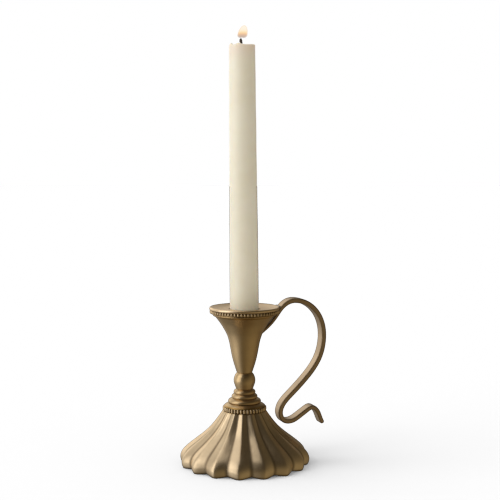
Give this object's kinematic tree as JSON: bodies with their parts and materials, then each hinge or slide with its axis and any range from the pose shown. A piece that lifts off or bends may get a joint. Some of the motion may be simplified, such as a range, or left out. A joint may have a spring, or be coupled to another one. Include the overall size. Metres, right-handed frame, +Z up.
{
  "type": "candlestick",
  "caption": "Antique brass chamber candlestick with a lobed trumpet foot, turned stem, tulip cup, strap handle and an ivory taper candle.",
  "frame": {"origin": "on the stem axis, at the height of the table that the foot stands on", "axes": "+Z up along the stem, +X towards the strap handle, +Y across the handle's plane"},
  "size_m": [0.1157, 0.0998, 0.326],
  "materials": {
    "antique_brass": "aged satin brass, darker in the recesses",
    "solder": "dull grey solder",
    "zinc_steel": "dull zinc plate",
    "ivory_wax": "smooth ivory wax",
    "cotton_wick": "charred braided cotton"
  },
  "bodies": {
    "stand": {"base_skirt": "antique_brass", "base_collar": "antique_brass", "collar_bead_ring": "antique_brass", "stem_ring_large": "antique_brass", "stem_ring_middle": "antique_brass", "stem_ring_small": "antique_brass", "ball_knop": "antique_brass", "candle_cup": "antique_brass", "cup_lip_ring": "antique_brass", "pan_bead_ring": "antique_brass", "drip_pan": "antique_brass", "socket_sleeve": "antique_brass", "handle_strap": "antique_brass", "handle_solder_joint": "solder", "tie_rod": "zinc_steel", "rod_washer": "zinc_steel", "rod_lock_washer": "zinc_steel", "rod_nut": "zinc_steel"},
    "candle": {"candle": "ivory_wax", "wick": "cotton_wick"}
  },
  "joints": [
    {"name": "candle_lift", "type": "slide", "parent": "stand", "child": "candle", "axis": [0, 0, 1], "range_m": [0, 0.05]}
  ]
}
